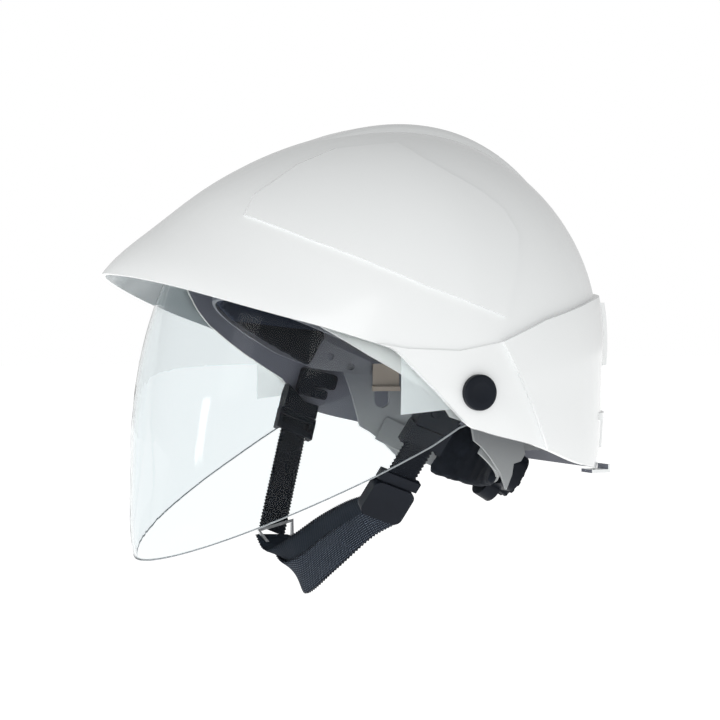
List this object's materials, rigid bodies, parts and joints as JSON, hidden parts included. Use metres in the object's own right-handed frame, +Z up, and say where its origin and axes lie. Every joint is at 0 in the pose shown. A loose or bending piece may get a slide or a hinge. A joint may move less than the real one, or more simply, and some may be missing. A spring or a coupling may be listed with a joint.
{
  "type": "safety helmet with face shield",
  "caption": "Hard hat with a clear face shield that swings up under the shell, on a ratchet headband with a webbing cradle and a chin strap.",
  "frame": {"origin": "midway between the two shield pivots, at the middle of the headband", "axes": "+X to the wearer's left along the pivot axis, -Y forwards, +Z up"},
  "size_m": [0.2364, 0.3138, 0.2841],
  "materials": {
    "shell_white": "glossy moulded thermoplastic",
    "clear": "clear polycarbonate sheet",
    "guide_white": "satin moulded plastic",
    "headgear_grey": "moulded grey plastic",
    "foam_black": "cloth-covered foam",
    "webbing": "woven polyester webbing",
    "steel": "plain turned steel",
    "black_plastic": "moulded black plastic"
  },
  "bodies": {
    "helmet": {"anchor_stud_left": "steel", "anchor_stud_right": "steel", "brow_pad": "foam_black", "buckle_plug": "black_plastic", "buckle_socket": "black_plastic", "chin_strap": "webbing", "cradle_clip_front": "headgear_grey", "cradle_clip_left": "headgear_grey", "cradle_clip_rear": "headgear_grey", "cradle_clip_right": "headgear_grey", "crown_pad": "foam_black", "crown_strap_cross": "webbing", "crown_strap_long": "webbing", "front_hanger": "headgear_grey", "guide_shell": "guide_white", "headband": "headgear_grey", "nape_arm_left": "headgear_grey", "nape_arm_right": "headgear_grey", "nape_pad": "foam_black", "pivot_knob_left": "black_plastic", "pivot_knob_right": "black_plastic", "pivot_latch_left": "black_plastic", "pivot_latch_right": "black_plastic", "pivot_pin_left": "steel", "pivot_pin_right": "steel", "pivot_washer_left": "steel", "pivot_washer_right": "steel", "ratchet_housing": "black_plastic", "rear_clip": "shell_white", "rear_hanger": "headgear_grey", "rear_hook_left": "shell_white", "rear_hook_right": "shell_white", "shell": "shell_white", "side_hanger_left": "headgear_grey", "side_hanger_right": "headgear_grey", "strap_anchor_left": "black_plastic", "strap_anchor_right": "black_plastic", "strap_ring": "steel", "strap_run_left": "webbing", "strap_run_right": "webbing", "temple_clip_left": "guide_white", "temple_clip_right": "guide_white", "temple_plate_left": "headgear_grey", "temple_plate_right": "headgear_grey"},
    "shield": {"face_shield": "clear", "shield_ear_left": "guide_white", "shield_ear_right": "guide_white"},
    "fit_knob": {"ratchet_knob": "black_plastic"},
    "slider_left": {"slider_left": "black_plastic"},
    "slider_right": {"slider_right": "black_plastic"}
  },
  "joints": [
    {"name": "shield_swing", "type": "hinge", "parent": "helmet", "child": "shield", "pos_m": [0, 0, 0], "axis": [-1, 0, 0], "range_deg": [0, 52]},
    {"name": "fit_knob_turn", "type": "hinge", "parent": "helmet", "child": "fit_knob", "pos_m": [0, 0.0715, -0.05], "axis": [0, 0.8572, -0.515], "continuous": true},
    {"name": "slider_left_slide", "type": "slide", "parent": "helmet", "child": "slider_left", "axis": [-0.4563, -0.3178, -0.8311], "range_m": [0, 0.016]},
    {"name": "slider_right_slide", "type": "slide", "parent": "helmet", "child": "slider_right", "axis": [0.3289, -0.3595, -0.8733], "range_m": [0, 0.03]}
  ]
}
